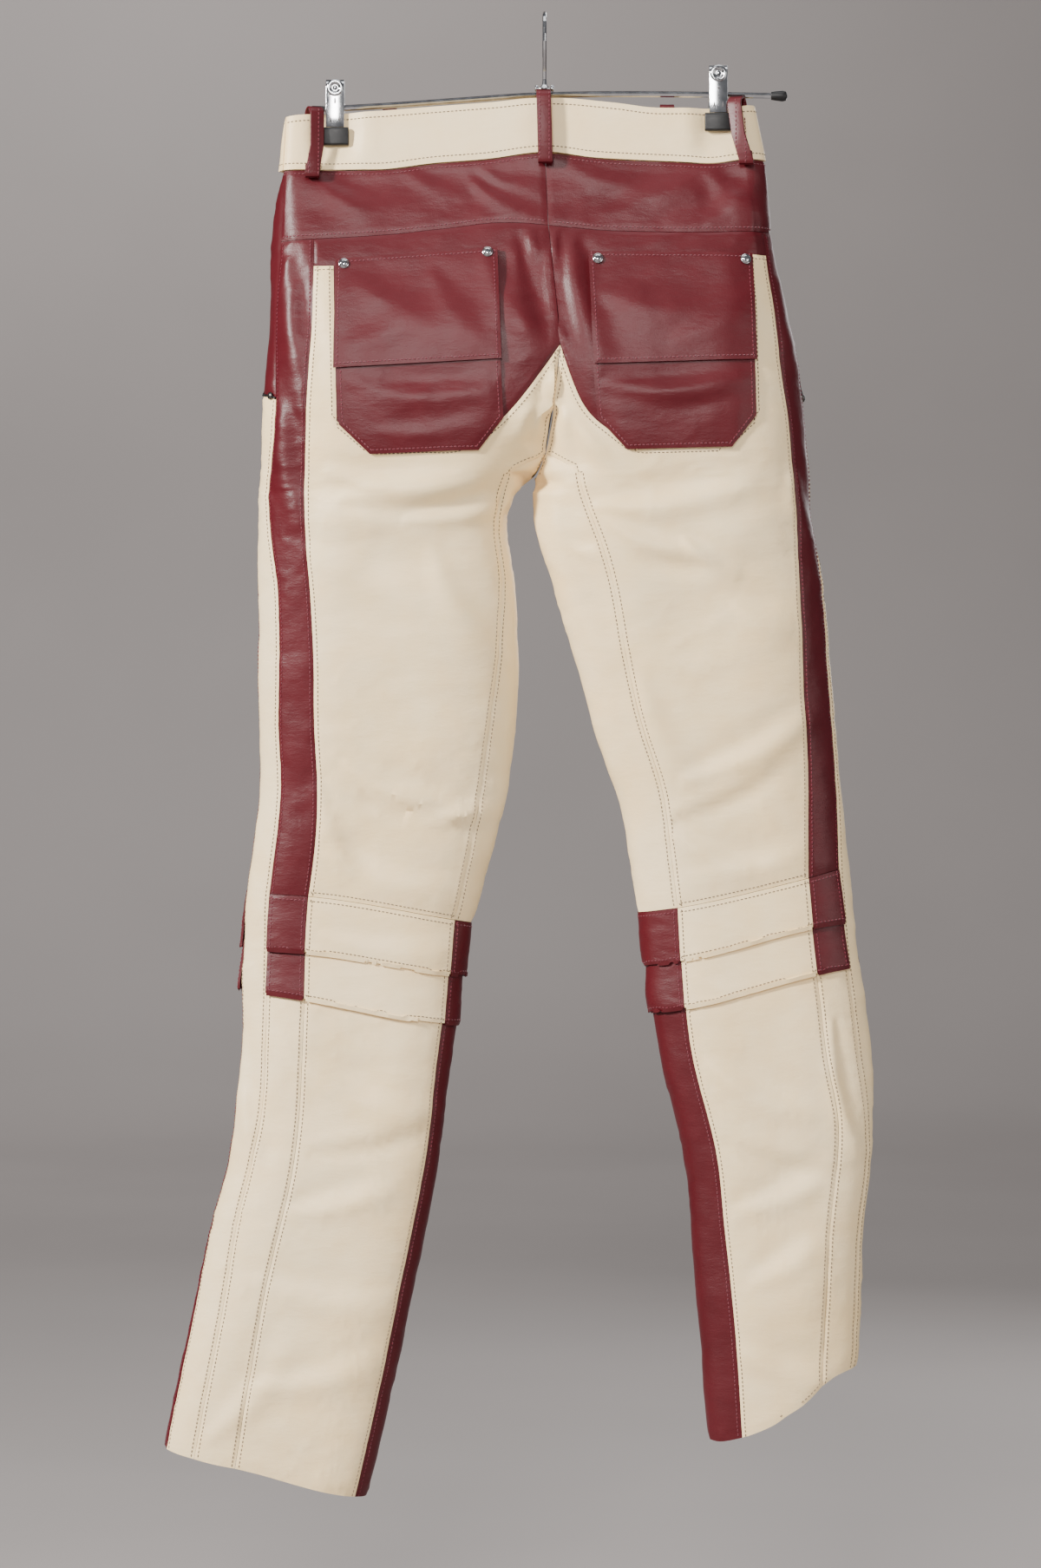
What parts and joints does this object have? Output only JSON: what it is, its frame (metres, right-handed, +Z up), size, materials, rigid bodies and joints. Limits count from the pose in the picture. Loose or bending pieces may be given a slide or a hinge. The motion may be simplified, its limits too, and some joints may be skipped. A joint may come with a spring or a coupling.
{
  "type": "leather pants on a clip hanger",
  "caption": "Two-tone leather trousers with patch pockets, side stripes and knee bands, hung by the waist from a steel clip hanger.",
  "frame": {"origin": "the inner top of the hanger's hook, where it hangs on a rail", "axes": "+Z up, the back of the trousers faces -Y, +X is the wearer's right"},
  "size_m": [0.539, 0.0929, 1.1264],
  "materials": {
    "leather_cream": "smooth matt cream leather",
    "leather_burgundy": "smooth semi-gloss burgundy leather",
    "chrome": "polished",
    "rubber_black": "satin black rubber"
  },
  "bodies": {
    "root": {"waistband_back": "leather_cream", "waistband_front": "leather_cream", "yoke_left": "leather_burgundy", "seat_left": "leather_burgundy", "thigh_back_left": "leather_cream", "side_stripe_left": "leather_burgundy", "side_strip_left": "leather_cream", "hip_facing_left": "leather_burgundy", "front_left": "leather_burgundy", "inner_thigh_left": "leather_cream", "knee_upper_end_left": "leather_burgundy", "knee_upper_back_left": "leather_cream", "knee_upper_front_left": "leather_burgundy", "knee_lower_end_left": "leather_burgundy", "knee_lower_back_left": "leather_cream", "knee_lower_front_left": "leather_burgundy", "calf_strip_left": "leather_cream", "calf_back_left": "leather_cream", "shin_left": "leather_burgundy", "pocket_left": "leather_burgundy", "pocket_patch_left": "leather_burgundy", "rivet_hip_left": "chrome", "clip_left": "chrome", "clip_tip_left": "rubber_black", "bar_cap_left": "rubber_black", "rivet_left_outer": "chrome", "rivet_left_inner": "chrome", "yoke_right": "leather_burgundy", "seat_right": "leather_burgundy", "thigh_back_right": "leather_cream", "side_stripe_right": "leather_burgundy", "side_strip_right": "leather_cream", "hip_facing_right": "leather_burgundy", "front_right": "leather_burgundy", "inner_thigh_right": "leather_cream", "knee_upper_end_right": "leather_burgundy", "knee_upper_back_right": "leather_cream", "knee_upper_front_right": "leather_burgundy", "knee_lower_end_right": "leather_burgundy", "knee_lower_back_right": "leather_cream", "knee_lower_front_right": "leather_burgundy", "calf_strip_right": "leather_cream", "calf_back_right": "leather_cream", "shin_right": "leather_burgundy", "pocket_right": "leather_burgundy", "pocket_patch_right": "leather_burgundy", "rivet_hip_right": "chrome", "clip_right": "chrome", "clip_tip_right": "rubber_black", "bar_cap_right": "rubber_black", "rivet_right_outer": "chrome", "rivet_right_inner": "chrome", "loop_back_left": "leather_burgundy", "loop_back_centre": "leather_burgundy", "loop_back_right": "leather_burgundy", "loop_front_left": "leather_burgundy", "loop_front_right": "leather_burgundy", "waist_button": "chrome", "hanger_bar": "chrome", "hanger_hook": "chrome"}
  },
  "joints": []
}
